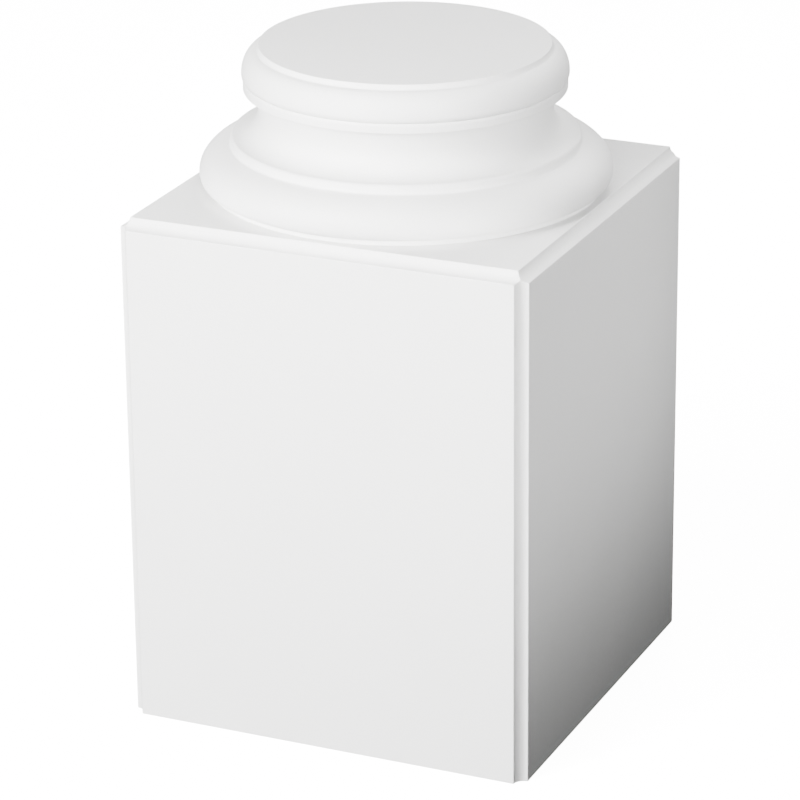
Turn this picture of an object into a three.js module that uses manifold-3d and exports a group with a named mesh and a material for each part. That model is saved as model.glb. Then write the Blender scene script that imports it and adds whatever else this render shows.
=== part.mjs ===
// Column base: a tall square plinth block, and a turned round base that stands on it.
// Millimetres, +Z up. The origin is the centre of the block's underside.

import * as THREE from "three";
import { mergeVertices } from "three/addons/utils/BufferGeometryUtils.js";
import Module from "manifold-3d";

// Round base, from the shaft's seat outwards
const collarRadius = 101;
const collarFlare = 2;
const upperTorusProjection = 10;
const upperTorusTuck = 1.5;
const upperTorusUndercut = 3;
const upperFilletSetback = 1;
const upperScotiaLip = 5;
const neckProjection = 1;
const lowerFilletProjection = 19.5;
const lowerScotiaLip = 2;
const lowerTorusProjection = 22;
const lowerTorusTuck = 5.5;
const lowerTorusUndercut = 3.5;
const footSetback = 6.5;

// Round base, the height of each moulding from the block upwards
const footHeight = 4.5;
const lowerTorusHeight = 26;
const lowerFilletHeight = 6.5;
const scotiaHeight = 32.5;
const upperFilletHeight = 6.5;
const upperTorusHeight = 20.5;
const collarHeight = 4;

// Heights of the widest line of each torus and of the scotia's neck, above their own lower edges
const lowerTorusBelly = 6.5;
const scotiaNeck = 17;
const upperTorusBelly = 4.5;

// Plinth block
const plinthHeight = 370;
const coveRadius = 7.5;
const plinthMargin = 5.5;

// Fineness of the facets
const turnSegments = 96;
const arcSegments = 6;
const coveSegments = 48;

// Radii that follow from the sizes above
const collarFootRadius = collarRadius + collarFlare;
const upperTorusRadius = collarFootRadius + upperTorusProjection;
const neckRadius = collarRadius + neckProjection;
const upperFilletRadius = upperTorusRadius - upperFilletSetback;
const lowerFilletRadius = neckRadius + lowerFilletProjection;
const lowerTorusRadius = lowerFilletRadius + lowerTorusProjection;
const footRadius = lowerTorusRadius - footSetback;
const plinthWidth = 2 * (footRadius + plinthMargin + coveRadius);

// Levels of the round base's mouldings above its own underside
const lowerTorusFrom = footHeight;
const lowerFilletFrom = lowerTorusFrom + lowerTorusHeight;
const scotiaFrom = lowerFilletFrom + lowerFilletHeight;
const upperFilletFrom = scotiaFrom + scotiaHeight;
const upperTorusFrom = upperFilletFrom + upperFilletHeight;
const collarFrom = upperTorusFrom + upperTorusHeight;
const seatLevel = collarFrom + collarHeight;

const mattWhite = { color: 0xf1f1ef, roughness: 0.72, metalness: 0 };

// Points along part of an ellipse in the profile's plane, from one angle to another, both ends included
function arc(centre, reach, from, to) {
  const points = [];
  for (let i = 0; i <= arcSegments; i += 1) {
    const angle = from + ((to - from) * i) / arcSegments;
    points.push(new THREE.Vector2(
      centre.radius + reach.radius * Math.cos(angle),
      centre.level + reach.level * Math.sin(angle),
    ));
  }
  return points;
}

// The upper part of a torus, from its widest line up to the edge of the moulding that stands on it
function crown(edgeRadius, widest, projection, tuck, rise) {
  const reach = projection + tuck;
  const endAngle = Math.acos(tuck / reach);
  return arc(
    { radius: edgeRadius - tuck, level: widest },
    { radius: reach, level: rise / Math.sin(endAngle) },
    0,
    endAngle,
  );
}

// A wide torus that overhangs the foot below and runs just under the fillet's edge above
function lowerTorus() {
  const widest = lowerTorusFrom + lowerTorusBelly;
  const rise = lowerTorusHeight - lowerTorusBelly;
  const below = arc(
    { radius: lowerTorusRadius - lowerTorusUndercut, level: widest },
    { radius: lowerTorusUndercut, level: lowerTorusBelly },
    -Math.PI / 2,
    0,
  );
  const above = crown(lowerFilletRadius, widest, lowerTorusProjection, lowerTorusTuck, rise);
  return [...below, ...above.slice(1)];
}

// A hollow that sweeps from the lower fillet's edge in to the neck and out again under the upper fillet
function scotia() {
  const neck = scotiaFrom + scotiaNeck;
  const lowerReach = lowerFilletProjection - lowerScotiaLip;
  const upperReach = upperFilletRadius - upperScotiaLip - neckRadius;
  const sweep = arc(
    { radius: neckRadius + lowerReach, level: neck },
    { radius: lowerReach, level: scotiaNeck },
    -Math.PI / 2,
    -Math.PI,
  );
  const throat = arc(
    { radius: neckRadius + upperReach, level: neck },
    { radius: upperReach, level: scotiaHeight - scotiaNeck },
    Math.PI,
    Math.PI / 2,
  );
  return [...sweep, ...throat.slice(1)];
}

// A narrow torus that closes to a fine quirk on the fillet below and runs just under the collar above
function upperTorus() {
  const widest = upperTorusFrom + upperTorusBelly;
  const rise = upperTorusHeight - upperTorusBelly;
  const below = arc(
    { radius: upperTorusRadius - upperTorusUndercut, level: widest },
    { radius: upperTorusUndercut, level: upperTorusBelly },
    -Math.PI / 2,
    0,
  );
  const above = crown(collarFootRadius, widest, upperTorusProjection, upperTorusTuck, rise);
  return [...below, ...above.slice(1)];
}

// A low collar, hollowed so that it flares out to the torus below
function collar() {
  return arc(
    { radius: collarFootRadius, level: seatLevel },
    { radius: collarFlare, level: collarHeight },
    -Math.PI / 2,
    -Math.PI,
  );
}

// The whole profile, from the centre of the underside to the centre of the seat
function roundBaseProfile() {
  return [
    new THREE.Vector2(0, 0),
    new THREE.Vector2(footRadius, 0),
    new THREE.Vector2(footRadius, lowerTorusFrom),
    ...lowerTorus(),
    new THREE.Vector2(lowerFilletRadius, scotiaFrom),
    ...scotia(),
    new THREE.Vector2(upperFilletRadius, upperFilletFrom),
    new THREE.Vector2(upperFilletRadius, upperTorusFrom),
    ...upperTorus(),
    ...collar().slice(1),
    new THREE.Vector2(0, seatLevel),
  ];
}

// LatheGeometry turns about +Y, so the turned piece is stood up to turn about +Z
function roundBaseGeometry() {
  const turned = new THREE.LatheGeometry(roundBaseProfile(), turnSegments);
  return turned.rotateX(Math.PI / 2);
}

const wasm = await Module();
wasm.setup();

// A closed three.js geometry as a manifold solid
function toSolid(geometry) {
  const bare = geometry.clone();
  bare.deleteAttribute("normal");
  bare.deleteAttribute("uv");
  const merged = mergeVertices(bare);
  return new wasm.Manifold(new wasm.Mesh({
    numProp: 3,
    vertProperties: new Float32Array(merged.attributes.position.array),
    triVerts: new Uint32Array(merged.index.array),
  }));
}

// A manifold solid as a three.js geometry
function toGeometry(solid) {
  const mesh = solid.getMesh();
  const geometry = new THREE.BufferGeometry();
  geometry.setAttribute("position", new THREE.BufferAttribute(mesh.vertProperties, 3));
  geometry.setIndex(new THREE.BufferAttribute(mesh.triVerts, 1));
  geometry.computeVertexNormals();
  return geometry;
}

// A rod of the cove's radius, as long as the arris that it hollows and a little past each end
function coveRod(arrisLength) {
  return new THREE.CylinderGeometry(coveRadius, coveRadius, arrisLength + 2 * coveRadius, coveSegments);
}

// The square block with a cove along each upright arris and each arris of its top
function plinthGeometry() {
  const half = plinthWidth / 2;
  const box = new THREE.BoxGeometry(plinthWidth, plinthWidth, plinthHeight);
  let block = toSolid(box.translate(0, 0, plinthHeight / 2));
  for (const x of [-half, half]) {
    for (const y of [-half, half]) {
      const upright = coveRod(plinthHeight).rotateX(Math.PI / 2).translate(x, y, plinthHeight / 2);
      block = block.subtract(toSolid(upright));
    }
  }
  for (const side of [-half, half]) {
    const alongX = coveRod(plinthWidth).rotateZ(Math.PI / 2).translate(0, side, plinthHeight);
    const alongY = coveRod(plinthWidth).translate(side, 0, plinthHeight);
    block = block.subtract(toSolid(alongX)).subtract(toSolid(alongY));
  }
  return toGeometry(block);
}

function piece(name, geometry) {
  const mesh = new THREE.Mesh(geometry, new THREE.MeshStandardMaterial(mattWhite));
  mesh.name = name;
  return mesh;
}

const plinthBlock = piece("plinth_block", plinthGeometry());
const roundBase = piece("round_base", roundBaseGeometry());
roundBase.position.z = plinthHeight;

const columnBase = new THREE.Group();
columnBase.add(plinthBlock, roundBase);

export default columnBase;
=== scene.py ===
"""A column base in matt white primer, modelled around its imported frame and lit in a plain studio."""

import logging
import math
from abc import ABC, abstractmethod
from dataclasses import dataclass, field
from enum import Enum
from typing import NamedTuple

import bpy
from mathutils import Matrix, Vector


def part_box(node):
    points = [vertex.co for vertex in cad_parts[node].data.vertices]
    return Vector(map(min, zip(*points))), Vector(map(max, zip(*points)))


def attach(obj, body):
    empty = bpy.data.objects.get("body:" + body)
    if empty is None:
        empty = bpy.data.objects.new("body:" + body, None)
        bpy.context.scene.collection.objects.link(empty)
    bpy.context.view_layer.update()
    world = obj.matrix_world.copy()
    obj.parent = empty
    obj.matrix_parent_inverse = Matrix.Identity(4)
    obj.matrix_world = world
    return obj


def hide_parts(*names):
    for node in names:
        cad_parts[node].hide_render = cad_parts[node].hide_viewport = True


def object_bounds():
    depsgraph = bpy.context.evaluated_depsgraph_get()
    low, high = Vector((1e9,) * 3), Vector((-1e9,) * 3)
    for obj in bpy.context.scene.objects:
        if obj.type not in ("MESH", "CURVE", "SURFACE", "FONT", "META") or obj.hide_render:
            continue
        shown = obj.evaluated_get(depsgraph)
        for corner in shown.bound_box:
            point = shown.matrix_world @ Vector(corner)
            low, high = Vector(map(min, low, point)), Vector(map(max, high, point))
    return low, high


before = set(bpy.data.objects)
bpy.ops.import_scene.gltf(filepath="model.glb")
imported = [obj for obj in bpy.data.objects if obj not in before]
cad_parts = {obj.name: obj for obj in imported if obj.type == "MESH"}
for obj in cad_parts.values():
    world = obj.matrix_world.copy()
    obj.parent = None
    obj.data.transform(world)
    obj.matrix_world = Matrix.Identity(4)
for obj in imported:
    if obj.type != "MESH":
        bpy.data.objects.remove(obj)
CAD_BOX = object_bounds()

Tone = tuple[float, float, float, float]

MM = 0.001
NEAR = 0.01 * MM
BODY = "root"
WHITE: Tone = (1.0, 1.0, 1.0, 1.0)
NOISE_MEAN = 0.5
ALL_BY_AREA = 100

logging.basicConfig(level=logging.INFO, format="%(levelname)s %(name)s: %(message)s")
log = logging.getLogger("column_base")


class Quarter(Enum):
    """A quarter of an ellipse that a moulding follows, as its first and last angle in degrees."""

    BELLY = (-90.0, 0.0)
    CROWN = (0.0, 90.0)
    SWEEP = (-90.0, -180.0)
    THROAT = (180.0, 90.0)


class Along(Enum):
    """The way that an arris of the block runs, with the turn that lays an upright rod along it."""

    X = (0.0, math.pi / 2, 0.0)
    Y = (math.pi / 2, 0.0, 0.0)
    Z = (0.0, 0.0, 0.0)


class Ending(Enum):
    """The node that closes a tree: a material's, or the world's."""

    MATERIAL = "ShaderNodeOutputMaterial"
    WORLD = "ShaderNodeOutputWorld"


class ProfilePoint(NamedTuple):
    """A point of a turned profile, and the radius that softens it where it is an arris or a crease."""

    radius: float
    level: float
    soften: float = 0.0


class Grain(NamedTuple):
    """Smooth noise: the size of its lumps in metres, its finer layers and how strong they are."""

    size: float
    detail: float
    roughness: float = 0.5


def deselect_all() -> None:
    """Leaves object mode's selection empty, so that an operator acts only on what is picked next."""
    bpy.ops.object.select_all(action="DESELECT")
    bpy.context.view_layer.objects.active = None


def pick(piece: bpy.types.Object) -> None:
    """Selects one piece alone and makes it active.

    Args:
        piece: The object to work on.
    """
    deselect_all()
    piece.select_set(True)
    bpy.context.view_layer.objects.active = piece


def select_vertices_at(piece: bpy.types.Object, places: list[Vector]) -> None:
    """Selects the vertices that lie at any of some places, and leaves the piece in edit mode.

    Args:
        piece: The mesh object, which is active.
        places: The places.
    """
    bpy.ops.object.mode_set(mode="EDIT")
    bpy.ops.mesh.select_mode(type="VERT")
    bpy.ops.mesh.select_all(action="DESELECT")
    bpy.ops.object.mode_set(mode="OBJECT")
    for vertex in piece.data.vertices:
        vertex.select = any((vertex.co - place).length < NEAR for place in places)
    bpy.ops.object.mode_set(mode="EDIT")


def apply_modifier(piece: bpy.types.Object, kind: str, **settings: object) -> None:
    """Adds a modifier to a piece, sets it and applies it.

    Args:
        piece: The object to change.
        kind: Blender's name for the modifier, such as "BEVEL".
        **settings: Its settings, by attribute name.
    """
    modifier = piece.modifiers.new(kind.lower(), kind)
    for name, value in settings.items():
        setattr(modifier, name, value)
    pick(piece)
    bpy.ops.object.modifier_apply(modifier=modifier.name)


def settle(piece: bpy.types.Object) -> None:
    """Puts a piece's place, turn and scale into its mesh, so that its object sits at the origin."""
    pick(piece)
    bpy.ops.object.transform_apply(location=True, rotation=True, scale=True)


def even_shading(piece: bpy.types.Object, sharpest: float) -> None:
    """Shades curves smoothly and keeps broad faces flat up to their softened edges.

    Args:
        piece: The finished mesh.
        sharpest: The angle, in degrees, past which an edge is left sharp.
    """
    pick(piece)
    bpy.ops.object.shade_smooth_by_angle(angle=math.radians(sharpest))
    apply_modifier(piece, "WEIGHTED_NORMAL", mode="FACE_AREA", weight=ALL_BY_AREA, keep_sharp=True)


class Value:
    """A shader socket that can be used in a Python expression."""

    def __init__(self, shader: "Shader", socket: bpy.types.NodeSocket) -> None:
        """Wraps one output socket of a shader's nodes."""
        self.shader = shader
        self.socket = socket

    def _math(self, operation: str, first: "Value | float", second: "Value | float") -> "Value":
        """One Math node on two values."""
        return self.shader.node("ShaderNodeMath", {"operation": operation}, {0: first, 1: second})

    def __add__(self, other: "Value | float") -> "Value":
        """The sum."""
        return self._math("ADD", self, other)

    def __sub__(self, other: "Value | float") -> "Value":
        """The difference."""
        return self._math("SUBTRACT", self, other)

    def __rsub__(self, other: "Value | float") -> "Value":
        """The difference, the other way round."""
        return self._math("SUBTRACT", other, self)

    def __mul__(self, other: "Value | float") -> "Value":
        """The product."""
        return self._math("MULTIPLY", self, other)

    __radd__ = __add__
    __rmul__ = __mul__


class Shader:
    """The node tree of a material or of the world, built up by plain calls."""

    def __init__(self, holder: bpy.types.Material | bpy.types.World) -> None:
        """Takes over a material or a world and empties its tree.

        Args:
            holder: What the tree belongs to.
        """
        holder.use_nodes = True
        self.tree = holder.node_tree
        self.tree.nodes.clear()

    def _place(
        self,
        kind: str,
        settings: dict[str, object] | None,
        inputs: dict[str | int, object] | None,
    ) -> bpy.types.Node:
        """Adds a node, sets it, and then links or sets its sockets.

        Args:
            kind: The node's type.
            settings: Its own settings.
            inputs: What goes into its sockets: a Value is linked, anything else is set.

        Returns:
            The node.
        """
        made = self.tree.nodes.new(kind)
        for name, value in (settings or {}).items():
            setattr(made, name, value)
        for key, value in (inputs or {}).items():
            if isinstance(value, Value):
                self.tree.links.new(value.socket, made.inputs[key])
            else:
                made.inputs[key].default_value = value
        return made

    def node(
        self,
        kind: str,
        settings: dict[str, object] | None = None,
        inputs: dict[str | int, object] | None = None,
        output: str | int = 0,
    ) -> Value:
        """Adds a node for the sake of one output.

        Args:
            kind: The node's type.
            settings: Its own settings, which are set first.
            inputs: What goes into its sockets: a Value is linked, anything else is set.
            output: The output that is wanted.

        Returns:
            The output, wrapped.
        """
        return Value(self, self._place(kind, settings, inputs).outputs[output])

    def noise(self, grain: Grain) -> Value:
        """Smooth noise over the piece's own place, from 0 to 1.

        Args:
            grain: The size and the fineness of its lumps.

        Returns:
            The noise.
        """
        inputs = {
            "Vector": self.node("ShaderNodeTexCoord", output="Object"),
            "Scale": 1 / grain.size,
            "Detail": grain.detail,
            "Roughness": grain.roughness,
        }
        return self.node("ShaderNodeTexNoise", {"noise_dimensions": "3D"}, inputs, "Fac")

    def blend(self, share: Value, first: Value | Tone, second: Value | Tone) -> Value:
        """A colour between two others.

        Args:
            share: How much of the second there is, from 0 to 1.
            first: A colour, or a Value that gives one.
            second: The other colour.

        Returns:
            The blended colour.
        """
        inputs = {"Factor": share, "A": first, "B": second}
        return self.node("ShaderNodeMix", {"data_type": "RGBA"}, inputs, "Result")

    def finish(self, surface: Value, ending: Ending = Ending.MATERIAL) -> None:
        """Sends a shader to the tree's surface.

        Args:
            surface: The shader's output.
            ending: The node that closes the tree.
        """
        self._place(ending.value, None, {"Surface": surface})


@dataclass(frozen=True)
class PrimedWhite:
    """Matt white primer, sprayed on smooth moulded polyurethane.

    Sizes are in metres. Tones are linear.
    """

    name: str
    light_tone: Tone = (0.890, 0.888, 0.882, 1.0)
    dark_tone: Tone = (0.864, 0.862, 0.855, 1.0)
    # Painted shade: this darker tone and its share speckle the colour along the spray tooth, standing in
    # for the tooth's own shading.
    tooth_shade_tone: Tone = (0.44, 0.44, 0.43, 1.0)
    tooth_shade_share: float = 0.10
    clouds: Grain = Grain(70 * MM, 3.0)
    tooth: Grain = Grain(1.5 * MM, 2.0, 0.6)
    tooth_depth: float = 0.15 * MM
    ripple: Grain = Grain(9 * MM, 1.0)
    ripple_depth: float = 0.05 * MM
    roughness: float = 0.62
    roughness_swing: float = 0.10
    specular: float = 0.35

    def material(self) -> bpy.types.Material:
        """Builds the primer: clouded white with painted shade speckled along a fine spray tooth, the
        tooth's bump, and the slow ripple of the mould.

        Returns:
            The finished material.
        """
        material = bpy.data.materials.new(self.name)
        shader = Shader(material)
        tooth = shader.noise(self.tooth)
        tone = shader.blend(shader.noise(self.clouds), self.dark_tone, self.light_tone)
        # Painted shade: the colour darkens in fine speckles with the tooth's noise, standing in for the
        # shade that the tooth's relief would cast.
        tone = shader.blend(tooth * self.tooth_shade_share, tone, self.tooth_shade_tone)
        relief = tooth * self.tooth_depth + shader.noise(self.ripple) * self.ripple_depth
        bump = shader.node("ShaderNodeBump", inputs={"Height": relief, "Distance": 1.0, "Strength": 1.0})
        surface = shader.node(
            "ShaderNodeBsdfPrincipled",
            inputs={
                "Base Color": tone,
                "Roughness": self.roughness + (tooth - NOISE_MEAN) * self.roughness_swing,
                "Specular IOR Level": self.specular,
                "Normal": bump,
            },
        )
        shader.finish(surface)
        return material


@dataclass(frozen=True)
class PaperFloor:
    """The plain pale floor that the base stands on. Sizes are in metres, tones are linear."""

    name: str = "pale_floor"
    light_tone: Tone = (0.90, 0.90, 0.90, 1.0)
    dark_tone: Tone = (0.882, 0.882, 0.882, 1.0)
    mottle: Grain = Grain(300 * MM, 2.0)
    roughness: float = 0.9
    specular: float = 0.1
    glow: float = 3.6

    def material(self) -> bpy.types.Material:
        """Builds a matt floor with the faintest unevenness, lit from below as a light table is.

        Returns:
            The finished material.
        """
        material = bpy.data.materials.new(self.name)
        shader = Shader(material)
        surface = shader.node(
            "ShaderNodeBsdfPrincipled",
            inputs={
                "Base Color": shader.blend(shader.noise(self.mottle), self.dark_tone, self.light_tone),
                "Roughness": self.roughness,
                "Specular IOR Level": self.specular,
                "Emission Color": WHITE,
                "Emission Strength": self.glow,
            },
        )
        shader.finish(surface)
        return material


@dataclass
class MouldedPiece(ABC):
    """A piece of the base that stands for one node of the frame and fills that node's box."""

    name: str
    node: str
    slot: str
    sharpest: float
    finish: PrimedWhite
    low: Vector = field(init=False)
    high: Vector = field(init=False)

    def __post_init__(self) -> None:
        """Takes the node's own box from the frame."""
        self.low, self.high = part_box(self.node)

    @abstractmethod
    def model(self) -> bpy.types.Object:
        """Models the piece's mesh, at its place and with its faces out.

        Returns:
            The mesh's object, in object mode.
        """

    def dress(self, piece: bpy.types.Object) -> None:
        """Gives the piece its material and ties it to the frame.

        Args:
            piece: The modelled mesh's object.
        """
        piece.data.materials.clear()
        piece.data.materials.append(self.finish.material())
        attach(piece, BODY)
        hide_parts(self.node)

    def build(self) -> bpy.types.Object:
        """Models the piece, shades it and dresses it.

        Returns:
            The finished piece, which stands for the frame's node.
        """
        piece = self.model()
        even_shading(piece, self.sharpest)
        self.dress(piece)
        return piece


@dataclass
class PlinthBlock(MouldedPiece):
    """The tall square block, hollowed to a cove along its upright arrises and round its top."""

    name: str = "moulded_plinth_block"
    node: str = "plinth_block"
    slot: str = "plinth"
    sharpest: float = 30.0
    finish: PrimedWhite = PrimedWhite("plinth_primer")
    cove_radius: float = 7.5 * MM
    cove_steps: int = 128
    rod_overrun: float = 15 * MM
    arris_soften: float = 0.7 * MM
    soften_steps: int = 3
    centre: Vector = field(init=False)
    size: Vector = field(init=False)

    def __post_init__(self) -> None:
        """Works out the block's middle and size from its box."""
        super().__post_init__()
        self.centre = (self.low + self.high) / 2
        self.size = self.high - self.low

    def start_block(self) -> bpy.types.Object:
        """Adds the plain block at its size and place.

        Returns:
            The block.
        """
        deselect_all()
        bpy.ops.mesh.primitive_cube_add(size=1.0, location=self.centre, scale=self.size)
        piece = bpy.context.active_object
        piece.name = piece.data.name = self.name
        settle(piece)
        return piece

    def cove_rod(self, place: Vector, along: Along) -> bpy.types.Object:
        """Adds a rod of the cove's radius along one arris, a little longer than the arris.

        Args:
            place: The arris's middle.
            along: The way that the arris runs.

        Returns:
            The rod, to be cut away.
        """
        deselect_all()
        bpy.ops.mesh.primitive_cylinder_add(
            vertices=self.cove_steps,
            radius=self.cove_radius,
            depth=getattr(self.size, along.name.lower()) + 2 * self.rod_overrun,
            location=place,
            rotation=along.value,
        )
        rod = bpy.context.active_object
        settle(rod)
        return rod

    def arrises(self) -> list[tuple[Vector, Along]]:
        """The arrises that have a cove: four upright and four round the top.

        Returns:
            The middle and the way of each.
        """
        low, high, mid = self.low, self.high, self.centre
        upright = [(Vector((x, y, mid.z)), Along.Z) for x in (low.x, high.x) for y in (low.y, high.y)]
        across = [(Vector((mid.x, y, high.z)), Along.X) for y in (low.y, high.y)]
        deep = [(Vector((x, mid.y, high.z)), Along.Y) for x in (low.x, high.x)]
        return upright + across + deep

    def cut_coves(self, piece: bpy.types.Object) -> None:
        """Cuts every cove out of the block, so that they mitre where they meet.

        Args:
            piece: The plain block.
        """
        for place, along in self.arrises():
            rod = self.cove_rod(place, along)
            apply_modifier(piece, "BOOLEAN", operation="DIFFERENCE", solver="EXACT", object=rod)
            bpy.data.objects.remove(rod, do_unlink=True)

    def soften_arrises(self, piece: bpy.types.Object) -> None:
        """Rounds every sharp arris by a hair, as primer does.

        Args:
            piece: The block with its coves.
        """
        apply_modifier(
            piece,
            "BEVEL",
            width=self.arris_soften,
            segments=self.soften_steps,
            limit_method="ANGLE",
            angle_limit=math.radians(self.sharpest),
            use_clamp_overlap=False,
            miter_outer="MITER_SHARP",
        )

    def model(self) -> bpy.types.Object:
        """Models the block: a box, its coves and its softened arrises.

        Returns:
            The block's object, in object mode.
        """
        piece = self.start_block()
        self.cut_coves(piece)
        self.soften_arrises(piece)
        return piece


@dataclass
class RoundBase(MouldedPiece):
    """The turned base: foot, wide torus, fillet, scotia, fillet, narrow torus and the collar's seat."""

    name: str = "turned_round_base"
    node: str = "round_base"
    slot: str = "round_base"
    sharpest: float = 35.0
    finish: PrimedWhite = PrimedWhite("round_base_primer")
    collar_radius: float = 101 * MM
    collar_flare: float = 2 * MM
    upper_torus_projection: float = 10 * MM
    upper_torus_tuck: float = 1.5 * MM
    upper_torus_undercut: float = 3 * MM
    upper_fillet_setback: float = 1 * MM
    upper_scotia_lip: float = 5 * MM
    neck_projection: float = 1 * MM
    lower_fillet_projection: float = 19.5 * MM
    lower_scotia_lip: float = 2 * MM
    lower_torus_projection: float = 22 * MM
    lower_torus_tuck: float = 5.5 * MM
    lower_torus_undercut: float = 3.5 * MM
    foot_setback: float = 6.5 * MM
    foot_height: float = 4.5 * MM
    lower_torus_height: float = 26 * MM
    lower_fillet_height: float = 6.5 * MM
    scotia_height: float = 32.5 * MM
    upper_fillet_height: float = 6.5 * MM
    upper_torus_height: float = 20.5 * MM
    lower_torus_belly: float = 6.5 * MM
    scotia_neck: float = 17 * MM
    upper_torus_belly: float = 4.5 * MM
    quirk_depth: float = 1.0 * MM
    collar_soften: float = 0.8 * MM
    fillet_ease: float = 2.2 * MM
    arris_soften: float = 0.5 * MM
    crease_soften: float = 0.35 * MM
    fillet_soften: float = 1.4 * MM
    curve_steps: int = 20
    soften_steps: int = 4
    turn_steps: int = 288
    collar_foot_radius: float = field(init=False)
    upper_torus_radius: float = field(init=False)
    neck_radius: float = field(init=False)
    upper_fillet_radius: float = field(init=False)
    lower_fillet_radius: float = field(init=False)
    lower_torus_radius: float = field(init=False)
    foot_radius: float = field(init=False)
    foot_level: float = field(init=False)
    lower_torus_level: float = field(init=False)
    lower_fillet_level: float = field(init=False)
    scotia_level: float = field(init=False)
    upper_fillet_level: float = field(init=False)
    upper_torus_level: float = field(init=False)
    collar_level: float = field(init=False)
    seat_level: float = field(init=False)

    def __post_init__(self) -> None:
        """Works out the radii and levels that follow from the sizes, from the block's top upwards."""
        super().__post_init__()
        self.collar_foot_radius = self.collar_radius + self.collar_flare
        self.upper_torus_radius = self.collar_foot_radius + self.upper_torus_projection
        self.neck_radius = self.collar_radius + self.neck_projection
        self.upper_fillet_radius = self.upper_torus_radius - self.upper_fillet_setback
        self.lower_fillet_radius = self.neck_radius + self.lower_fillet_projection
        self.lower_torus_radius = self.lower_fillet_radius + self.lower_torus_projection
        self.foot_radius = self.lower_torus_radius - self.foot_setback
        self.foot_level = self.low.z
        self.lower_torus_level = self.foot_level + self.foot_height
        self.lower_fillet_level = self.lower_torus_level + self.lower_torus_height
        self.scotia_level = self.lower_fillet_level + self.lower_fillet_height
        self.upper_fillet_level = self.scotia_level + self.scotia_height
        self.upper_torus_level = self.upper_fillet_level + self.upper_fillet_height
        self.collar_level = self.upper_torus_level + self.upper_torus_height
        self.seat_level = self.high.z

    def curve(
        self,
        centre: tuple[float, float],
        reach: tuple[float, float],
        quarter: Quarter,
        first: float | None = None,
        last: float | None = None,
    ) -> list[ProfilePoint]:
        """Points along part of an ellipse.

        Args:
            centre: The radius and level of its centre.
            reach: How far it runs outwards and upwards.
            quarter: The quarter that it follows.
            first: The first angle in degrees, where it isn't the quarter's own.
            last: The last angle in degrees, where it isn't the quarter's own.

        Returns:
            The points, both ends included.
        """
        start = quarter.value[0] if first is None else first
        end = quarter.value[1] if last is None else last
        points = []
        for i in range(self.curve_steps + 1):
            angle = math.radians(start + (end - start) * i / self.curve_steps)
            points.append(ProfilePoint(
                centre[0] + reach[0] * math.cos(angle),
                centre[1] + reach[1] * math.sin(angle),
            ))
        return points

    def crown(
        self,
        edge_radius: float,
        widest: float,
        projection: float,
        tuck: float,
        rise: float,
    ) -> list[ProfilePoint]:
        """The upper part of a torus, from its widest line up to the edge of the moulding on it.

        Args:
            edge_radius: The radius of the edge that it runs under.
            widest: The level of its widest line.
            projection: How far it stands out past the edge.
            tuck: How far its curve's centre lies inside the edge.
            rise: How high it climbs.

        Returns:
            The points, upwards.
        """
        reach = projection + tuck
        last = math.degrees(math.acos(tuck / reach))
        height = rise / math.sin(math.radians(last))
        return self.curve((edge_radius - tuck, widest), (reach, height), Quarter.CROWN, last=last)

    def lower_torus(self) -> list[ProfilePoint]:
        """The wide torus, which overhangs the foot below and runs just under the fillet's edge above.

        Returns:
            Its points, upwards.
        """
        undercut, belly = self.lower_torus_undercut, self.lower_torus_belly
        widest = self.lower_torus_level + belly
        below = self.curve((self.lower_torus_radius - undercut, widest), (undercut, belly), Quarter.BELLY)
        above = self.crown(
            self.lower_fillet_radius,
            widest,
            self.lower_torus_projection,
            self.lower_torus_tuck,
            self.lower_torus_height - belly,
        )
        return [*below, *above[1:-1], self.softened(above[-1], self.fillet_soften)]

    def scotia(self) -> list[ProfilePoint]:
        """The hollow between the two fillets, deepest at the neck.

        Returns:
            Its points, upwards.
        """
        neck = self.scotia_level + self.scotia_neck
        out = self.lower_fillet_projection - self.lower_scotia_lip
        below = self.curve((self.neck_radius + out, neck), (out, self.scotia_neck), Quarter.SWEEP)
        out = self.upper_fillet_radius - self.upper_scotia_lip - self.neck_radius
        rise = self.scotia_height - self.scotia_neck
        above = self.curve((self.neck_radius + out, neck), (out, rise), Quarter.THROAT)
        return [*below, *above[1:]]

    def upper_torus(self) -> list[ProfilePoint]:
        """The narrow torus, which closes to a fine quirk on the fillet below and runs under the collar.

        Returns:
            Its points, upwards.
        """
        undercut, belly = self.upper_torus_undercut, self.upper_torus_belly
        widest = self.upper_torus_level + belly
        below = self.curve(
            (self.upper_torus_radius - undercut, widest),
            (undercut, belly),
            Quarter.BELLY,
            first=-math.degrees(math.acos(self.quirk_depth / undercut)),
        )
        above = self.crown(
            self.collar_foot_radius,
            widest,
            self.upper_torus_projection,
            self.upper_torus_tuck,
            self.upper_torus_height - belly,
        )
        return [*below, *above[1:]]

    def collar(self) -> list[ProfilePoint]:
        """The low collar, hollowed so that it flares out to the torus below.

        Returns:
            Its points, upwards.
        """
        hollow = self.curve(
            (self.collar_foot_radius, self.seat_level),
            (self.collar_flare, self.seat_level - self.collar_level),
            Quarter.SWEEP,
        )
        return [*hollow[1:-1], self.softened(hollow[-1], self.collar_soften)]

    def eased(self, radius: float, level: float, lip: float) -> list[ProfilePoint]:
        """The worn upper edge of a fillet, rounded over its lip.

        Args:
            radius: The fillet's radius.
            level: The level of its upper edge.
            lip: How far the rounding runs inwards.

        Returns:
            The points, upwards.
        """
        return self.curve((radius - lip, level - self.fillet_ease), (lip, self.fillet_ease), Quarter.CROWN)

    @staticmethod
    def softened(point: ProfilePoint, radius: float) -> ProfilePoint:
        """The same point with a softening radius."""
        return point._replace(soften=radius)

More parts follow.
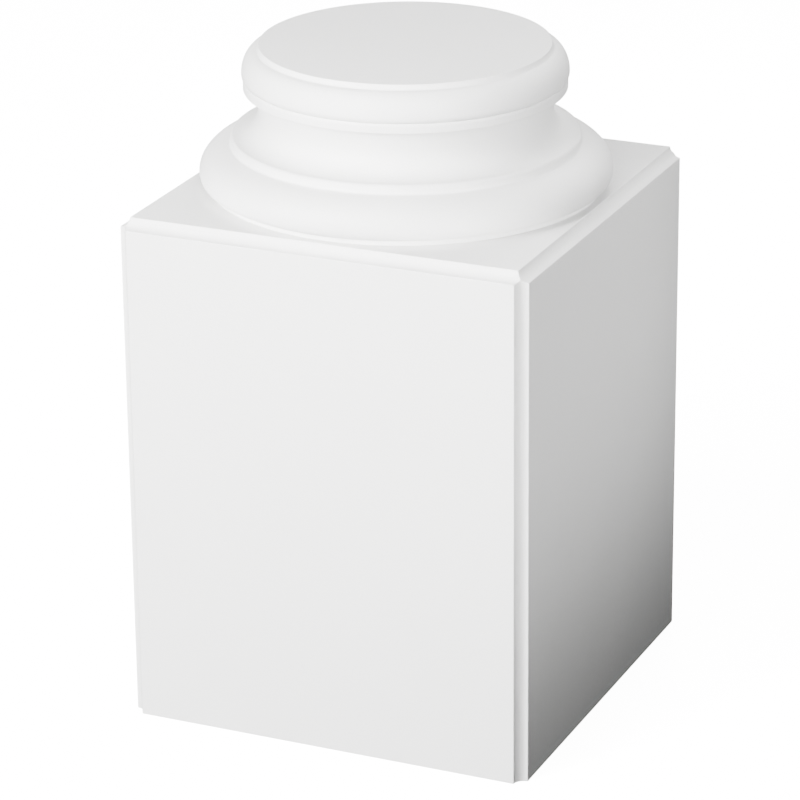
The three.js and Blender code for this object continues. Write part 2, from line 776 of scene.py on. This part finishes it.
    def profile(self) -> list[ProfilePoint]:
        """The whole profile, from the centre of the underside to the centre of the seat.

        Returns:
            Its points, each with its softening.
        """
        upper_torus = self.upper_torus()
        quirk_lip = self.upper_fillet_radius - upper_torus[0].radius
        return [
            ProfilePoint(0.0, self.foot_level),
            ProfilePoint(self.foot_radius, self.foot_level, self.crease_soften),
            ProfilePoint(self.foot_radius, self.lower_torus_level, self.crease_soften),
            *self.lower_torus(),
            *self.eased(self.lower_fillet_radius, self.scotia_level, self.lower_scotia_lip),
            *self.scotia()[1:],
            ProfilePoint(self.upper_fillet_radius, self.upper_fillet_level, self.arris_soften),
            *self.eased(self.upper_fillet_radius, self.upper_torus_level, quirk_lip),
            *upper_torus,
            *self.collar(),
            ProfilePoint(0.0, self.seat_level),
        ]

    def draw_profile(self) -> bpy.types.Object:
        """Draws the profile as a chain of edges, one extruded vertex after another.

        Returns:
            The chain, in edit mode.
        """
        points = self.profile()
        deselect_all()
        bpy.ops.mesh.primitive_plane_add(size=MM, location=(points[0].radius, 0.0, points[0].level))
        piece = bpy.context.active_object
        piece.name = piece.data.name = self.name
        settle(piece)
        bpy.ops.object.mode_set(mode="EDIT")
        bpy.ops.mesh.select_mode(type="VERT")
        bpy.ops.mesh.select_all(action="SELECT")
        bpy.ops.mesh.merge(type="CENTER")
        for before, after in zip(points, points[1:]):
            step = (after.radius - before.radius, 0.0, after.level - before.level)
            bpy.ops.mesh.extrude_region_move(TRANSFORM_OT_translate={"value": step})
        return piece

    def soften_profile(self, piece: bpy.types.Object) -> None:
        """Rounds the profile's arrises and creases, each by its own radius.

        Args:
            piece: The drawn profile, which is left in edit mode.
        """
        points = [p for p in self.profile() if p.soften > 0]
        for radius in sorted({p.soften for p in points}):
            spots = [Vector((p.radius, 0.0, p.level)) for p in points if p.soften == radius]
            select_vertices_at(piece, spots)
            bpy.ops.mesh.bevel(offset=radius, segments=self.soften_steps, profile=0.5, affect="VERTICES")

    def turn(self) -> None:
        """Spins the profile in edit mode about the base's axis into a closed solid with its faces out."""
        bpy.ops.mesh.select_all(action="SELECT")
        bpy.ops.mesh.spin(
            steps=self.turn_steps,
            angle=math.tau,
            center=(0.0, 0.0, 0.0),
            axis=(0.0, 0.0, 1.0),
            use_auto_merge=True,
        )
        bpy.ops.mesh.select_all(action="SELECT")
        bpy.ops.mesh.remove_doubles(threshold=NEAR)
        bpy.ops.mesh.normals_make_consistent(inside=False)
        bpy.ops.object.mode_set(mode="OBJECT")

    def model(self) -> bpy.types.Object:
        """Models the round base: its profile is drawn, softened and turned.

        Returns:
            The round base's object, in object mode.
        """
        piece = self.draw_profile()
        self.soften_profile(piece)
        self.turn()
        return piece


@dataclass(frozen=True)
class SoftLight:
    """A square soft light, aimed at a point on the base's axis.

    Angles are in degrees, from the front towards the right, and upwards. Sizes are in metres.
    """

    name: str
    azimuth: float
    elevation: float
    distance: float
    size: float
    power: float
    aim_level: float = 0.235
    spread: float = 180.0

    def add(self) -> None:
        """Hangs the light at its place, out of the camera's sight."""
        a, e = math.radians(self.azimuth), math.radians(self.elevation)
        back = Vector((math.sin(a) * math.cos(e), -math.cos(a) * math.cos(e), math.sin(e)))
        light = bpy.data.lights.new(self.name, "AREA")
        light.shape = "SQUARE"
        light.size = self.size
        light.spread = math.radians(self.spread)
        light.energy = self.power
        lamp = bpy.data.objects.new(self.name, light)
        lamp.location = Vector((0.0, 0.0, self.aim_level)) + back * self.distance
        lamp.rotation_mode = "QUATERNION"
        lamp.rotation_quaternion = (-back).to_track_quat("-Z", "Y")
        lamp.visible_camera = False
        bpy.context.scene.collection.objects.link(lamp)


@dataclass(frozen=True)
class Viewpoint:
    """The camera, where the picture was taken from.

    Angles are in degrees, the focal length is in millimetres and the rest is in metres.
    """

    place: tuple[float, float, float] = (1.0794, -2.4335, 1.2534)
    heading: float = 24.05
    pitch: float = 21.47
    roll: float = -0.57
    focal_length: float = 181.4
    nearest: float = 0.1
    farthest: float = 100.0

    def add(self) -> None:
        """Adds the camera and makes it the scene's own."""
        data = bpy.data.cameras.new("camera")
        data.lens = self.focal_length
        data.clip_start = self.nearest
        data.clip_end = self.farthest
        camera = bpy.data.objects.new("camera", data)
        turn = Matrix.Rotation(math.radians(self.heading), 4, "Z")
        tilt = Matrix.Rotation(math.radians(90 - self.pitch), 4, "X")
        roll = Matrix.Rotation(math.radians(self.roll), 4, "Z")
        camera.matrix_world = Matrix.Translation(self.place) @ turn @ tilt @ roll
        bpy.context.scene.collection.objects.link(camera)
        bpy.context.scene.camera = camera


@dataclass(frozen=True)
class Backdrop:
    """A pale backdrop behind the floor, which is seen but sheds no light on the base."""

    name: str = "pale_backdrop"
    glow: float = 3.6

    def hang(self) -> None:
        """Makes it the scene's world."""
        world = bpy.data.worlds.new(self.name)
        shader = Shader(world)
        seen = shader.node("ShaderNodeLightPath", output="Is Camera Ray")
        inputs = {"Color": WHITE, "Strength": seen * self.glow}
        shader.finish(shader.node("ShaderNodeBackground", inputs=inputs), Ending.WORLD)
        bpy.context.scene.world = world


@dataclass
class Studio:
    """The floor, the backdrop, the lights and the camera round the base."""

    floor_width: float = 40.0
    floor_finish: PaperFloor = PaperFloor()
    backdrop: Backdrop = Backdrop()
    viewpoint: Viewpoint = Viewpoint()
    view_transform: str = "AgX"
    view_look: str = "AgX - High Contrast"
    lights: tuple[SoftLight, ...] = (
        SoftLight("left_softbox", -30.0, 15.0, 2.2, 1.2, 69.5),
        SoftLight("front_softbox", 0.0, 15.0, 2.2, 1.2, 20.0),
        SoftLight("front_right_softbox", 30.0, 15.0, 2.2, 1.2, 17.0),
        SoftLight("high_near_softbox", 0.0, 55.0, 0.75, 0.3, 2.35, aim_level=0.35),
        SoftLight("low_near_softbox", 0.0, 30.0, 0.75, 0.3, 0.69, aim_level=0.35),
        SoftLight("right_gridded_softbox", 75.0, 10.0, 1.0, 0.5, 0.344, aim_level=0.33, spread=24.0),
        SoftLight("back_right_gridded_softbox", 115.0, 10.0, 1.0, 0.5, 0.197, aim_level=0.38, spread=35.0),
        SoftLight("back_softbox", 180.0, 45.0, 2.2, 1.2, 34.3),
        SoftLight("back_left_softbox", -135.0, 15.0, 2.2, 1.2, 5.0),
    )

    def lay_floor(self) -> None:
        """Lays the floor at the level that the base stands on."""
        deselect_all()
        bpy.ops.mesh.primitive_plane_add(size=self.floor_width, location=(0.0, 0.0, CAD_BOX[0].z))
        floor = bpy.context.active_object
        floor.name = floor.data.name = "studio_floor"
        settle(floor)
        floor.data.materials.append(self.floor_finish.material())
        floor.visible_diffuse = False
        floor.visible_glossy = False

    def build(self) -> None:
        """Sets the camera, lays the floor, hangs the backdrop and the lights, and sets the view."""
        self.viewpoint.add()
        self.lay_floor()
        self.backdrop.hang()
        for light in self.lights:
            light.add()
        view = bpy.context.scene.view_settings
        view.view_transform = self.view_transform
        view.look = self.view_look


def main() -> None:
    """Builds the base piece by piece, then the studio round it."""
    for part in (PlinthBlock(), RoundBase()):
        piece = part.build()
        piece.data.calc_loop_triangles()
        log.info("%s: %d triangles", piece.name, len(piece.data.loop_triangles))
    studio = Studio()
    studio.build()
    log.info("studio: floor, backdrop, camera and %d lights", len(studio.lights))


if __name__ == "__main__":
    main()
